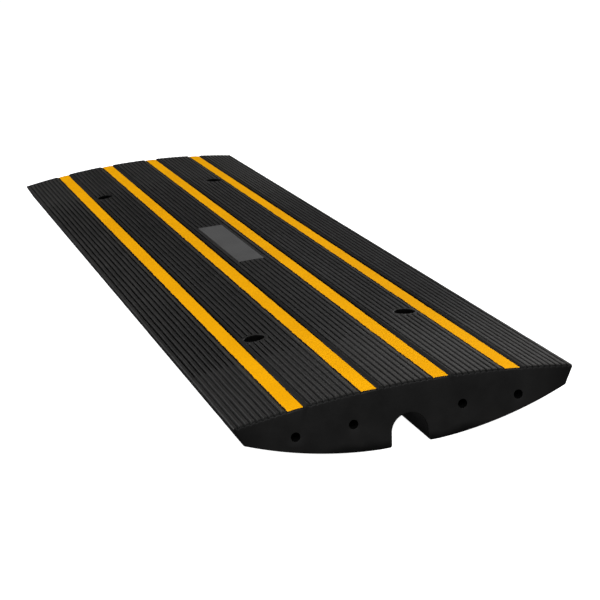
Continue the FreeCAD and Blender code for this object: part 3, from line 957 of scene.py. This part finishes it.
def yellow_rubber():
    n = Nodes("yellow_rubber")
    edge = n.attribute("edge")
    broad = n.noise(14.0, 4.0)
    grain = n.noise(620.0, 5.0, 0.7)
    fine = n.noise(1500.0, 4.0, 0.6)
    base = n.mix(n.ramp(broad, 0.3, 0.7), (0.90, 0.400, 0.0003, 1), (0.97, 0.440, 0.0006, 1))
    base = n.mix(n.ramp(grain, 0.34, 0.50, 0.35, 0.0), base, (0.60, 0.235, 0.003, 1))
    base = n.mix(n.ramp(grain, 0.56, 0.72, 0.0, 0.30), base, (1.0, 0.55, 0.012, 1))
    # black crumb trodden into the yellow, thicker in patches
    crumb = n.cells(300.0)
    reach = n.ramp(n.noise(85.0, 3.0), 0.35, 0.75, 0.025, 0.10)
    base = n.mix(n.ramp(crumb, n.math("MULTIPLY", reach, 0.7), reach, 0.85, 0.0), base, grey(0.03, 0.3))
    ragged = n.math("ADD", n.ramp(n.noise(160.0, 4.0, 0.7), 0.30, 0.78, 0.0, 0.75), n.ramp(fine, 0.3, 0.7, -0.1, 0.1))
    bare = n.ramp(n.math("SUBTRACT", edge, ragged), -0.08, 0.10, 1.0, 0.0)
    base = n.mix(bare, base, grey(0.020))
    n.set(Base_Color=base)
    n.set(Roughness=n.ramp(grain, 0.3, 0.7, 0.80, 0.94))
    n.shader.inputs["Specular IOR Level"].default_value = 0.02
    coarse = n.bump(n.noise(180.0, 3.0), 0.4, 0.0002)
    n.set(Normal=n.bump(grain, 0.5, 0.00008, coarse))
    return n.material


def plate_rubber():
    n = Nodes("plate_rubber")
    broad = n.noise(22.0, 4.0)
    grain = n.noise(1100.0, 5.0, 0.6)
    base = n.mix(n.ramp(broad, 0.3, 0.7), grey(0.069), grey(0.082))
    base = n.mix(n.ramp(grain, 0.55, 0.75, 0.0, 0.4), base, grey(0.110))
    n.set(Base_Color=base)
    n.set(Roughness=n.ramp(grain, 0.3, 0.7, 0.60, 0.72))
    n.shader.inputs["Specular IOR Level"].default_value = 0.2
    scratches = n.noise(260.0, 5.0, 0.6, stretch=(0.06, 1.0, 1.0))
    n.set(Normal=n.bump(scratches, 0.25, 0.00003, n.bump(grain, 0.35, 0.00003)))
    return n.material


def washer_steel():
    n = Nodes("washer_steel")
    spangle = n.cells(260.0)
    grime = n.noise(120.0, 5.0, 0.6)
    base = n.mix(n.ramp(spangle, 0.2, 0.8), grey(0.36), grey(0.52))
    base = n.mix(n.ramp(grime, 0.48, 0.68), base, (0.13, 0.075, 0.04, 1))
    n.set(Base_Color=base)
    n.shader.inputs["Metallic"].default_value = 0.9
    n.set(Roughness=n.ramp(grime, 0.35, 0.7, 0.32, 0.65))
    n.set(Normal=n.bump(grime, 0.4, 0.00006))
    return n.material


def coat(objects, material):
    for o in objects:
        o.data.materials.clear()
        o.data.materials.append(material)


coat([body], black_rubber())
body.data.materials.append(near_black_shade_rubber())
body.data.polygons.foreach_set("material_index", shade_black_faces.astype(np.int32))
body.data.update()
coat(stripes, yellow_rubber())
coat([centre_plate], plate_rubber())
coat(washers, washer_steel())

# ---------------------------------------------------------------------------
# stage, lights and camera
# ---------------------------------------------------------------------------
scene = bpy.context.scene
mesh = bpy.data.meshes.new("floor")
mesh.from_pydata([(-22, -22, 0), (22, -22, 0), (22, 22, 0), (-22, 22, 0)], [], [(0, 1, 2, 3)])
floor = bpy.data.objects.new("studio_floor", mesh)
scene.collection.objects.link(floor)
paper = Nodes("studio_paper")
paper.set(Base_Color=(0.60, 0.60, 0.60, 1.0), Roughness=0.9)
paper.shader.inputs["Specular IOR Level"].default_value = 0.0
paper.shader.inputs["Emission Color"].default_value = (1, 1, 1, 1)
paper.shader.inputs["Emission Strength"].default_value = 1.0
coat([floor], paper.material)
floor.visible_diffuse = False
floor.visible_glossy = False


def softbox(name, at, towards, size, watts, tint=(1, 1, 1)):
    data = bpy.data.lights.new(name, "AREA")
    data.shape = "RECTANGLE"
    data.size, data.size_y = size
    data.energy = watts
    data.color = tint
    obj = bpy.data.objects.new(name, data)
    obj.location = at
    obj.rotation_euler = (Vector(towards) - Vector(at)).to_track_quat("-Z", "Y").to_euler()
    scene.collection.objects.link(obj)
    return obj


def around(name, azimuth, elevation, size, watts, distance=2.8):
    """A soft light aimed at the ramp. Azimuth 0 is over the near end, 90 to the right."""
    a, e = math.radians(azimuth), math.radians(elevation)
    at = Vector((math.cos(a) * math.cos(e), math.sin(a) * math.cos(e), math.sin(e))) * distance
    return softbox(name, tuple(at), (0, 0, 0.03), (size, size), watts)


around("front_softbox", 0, 32, 1.5, 64.0)
around("right_low_softbox", 117, 12, 1.0, 46.0)
around("back_softbox", 150, 20, 1.2, 3.0)
around("back_left_softbox", 236, 31, 1.5, 60.0)

# the sky is black, and a weak glow from below stands for light off the paper
world = bpy.data.worlds.new("studio")
world.use_nodes = True
tree = world.node_tree
background = tree.nodes["Background"]
direction = tree.nodes.new("ShaderNodeTexCoord")
split = tree.nodes.new("ShaderNodeSeparateXYZ")
glow = tree.nodes.new("ShaderNodeMapRange")
glow.inputs["From Min"].default_value = -0.25
glow.inputs["From Max"].default_value = 0.05
glow.inputs["To Min"].default_value = 0.05
glow.inputs["To Max"].default_value = 0.01
tree.links.new(direction.outputs["Generated"], split.inputs[0])
tree.links.new(split.outputs["Z"], glow.inputs["Value"])
tree.links.new(glow.outputs["Result"], background.inputs["Strength"])
background.inputs["Color"].default_value = (1, 1, 1, 1)
scene.world = world

scene.view_settings.view_transform = "Standard"
scene.view_settings.look = "None"

camera_data = bpy.data.cameras.new("camera")
camera_data.sensor_width = 36.0
camera_data.lens = 1839.68 * 36.0 / 600.0
camera_data.clip_end = 100.0
camera = bpy.data.objects.new("camera", camera_data)
axes = Matrix(
    (
        (0.2785660, -0.2220966, 0.9343843),
        (0.9550082, 0.1671634, -0.2449810),
        (-0.1017854, 0.9605881, 0.2586701),
    )
)
camera.matrix_world = Matrix.Translation((2.01945, -0.45360, 0.53244)) @ axes.to_4x4()
scene.collection.objects.link(camera)
scene.camera = camera
